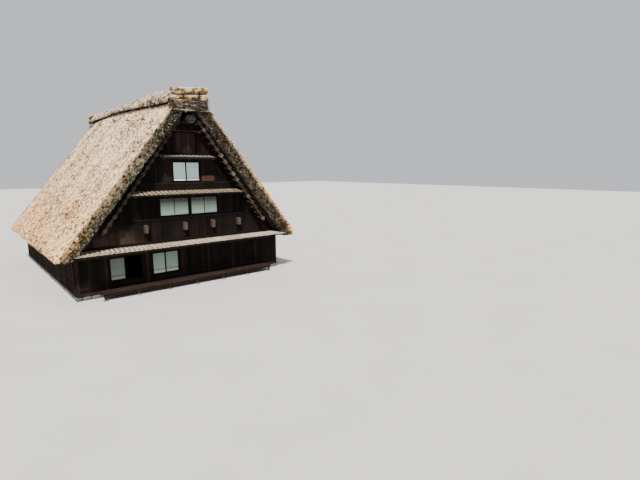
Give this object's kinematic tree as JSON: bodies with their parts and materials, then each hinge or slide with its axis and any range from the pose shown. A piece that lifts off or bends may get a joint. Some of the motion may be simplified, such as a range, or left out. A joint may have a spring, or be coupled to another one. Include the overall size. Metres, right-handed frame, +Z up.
{
  "type": "thatched farmhouse",
  "caption": "Large farmhouse with a steep two-slope thatched roof, boarded gables with three pent roofs and paper windows, on a stone footing.",
  "frame": {"origin": "on the ground under the middle of the house", "axes": "+Z up, +Y along the ridge from the front gable to the back gable, +X to the right of someone who faces the front gable"},
  "size_m": [15.374, 18.39, 12.18],
  "materials": {
    "thatch": "weathered straw",
    "ridge_thatch": "coarse dark straw",
    "ridge_straw": "golden straw over bark",
    "dark_boards": "smoked dark boards",
    "brown_boards": "red-brown boards",
    "beams": "hewn timber",
    "pent_boards": "weathered roof boards",
    "paper": "paper panels in dark frames",
    "poles": "round poles with rope",
    "floor_boards": "worn boards",
    "stone": "rough stone",
    "red_board": "faded red board"
  },
  "bodies": {
    "root": {"stone_foundation": "stone", "ground_floor": "floor_boards", "left_wall": "dark_boards", "right_wall": "dark_boards", "entrance_doors": "brown_boards", "floor_storey_2": "beams", "floor_storey_3": "floor_boards", "floor_storey_4": "floor_boards", "front_wall": "dark_boards", "front_gable_storey_2": "dark_boards", "front_gable_storey_3": "dark_boards", "front_gable_storey_4": "dark_boards", "front_low_window_left": "paper", "front_low_window_right": "paper", "front_windows_storey_2": "paper", "front_window_storey_3": "paper", "front_shutters_storey_4": "brown_boards", "front_pent_roof_1": "pent_boards", "front_pent_roof_2": "pent_boards", "front_pent_roof_3": "pent_boards", "front_verge_pole_left": "poles", "front_verge_pole_right": "poles", "front_apex_log": "poles", "front_ridge_end": "ridge_straw", "front_red_board": "red_board", "front_veranda": "brown_boards", "back_wall": "dark_boards", "back_gable_storey_2": "dark_boards", "back_gable_storey_3": "dark_boards", "back_gable_storey_4": "dark_boards", "back_low_window_left": "paper", "back_low_window_right": "paper", "back_windows_storey_2": "paper", "back_window_storey_3": "paper", "back_shutters_storey_4": "brown_boards", "back_pent_roof_1": "pent_boards", "back_pent_roof_2": "pent_boards", "back_pent_roof_3": "pent_boards", "back_verge_pole_left": "poles", "back_verge_pole_right": "poles", "back_apex_log": "poles", "back_ridge_end": "ridge_straw", "left_thatch": "thatch", "right_thatch": "thatch", "ridge_cap": "ridge_thatch", "ridge_needle_1": "poles", "ridge_needle_2": "poles", "ridge_needle_3": "poles", "ridge_needle_4": "poles"}
  },
  "joints": []
}
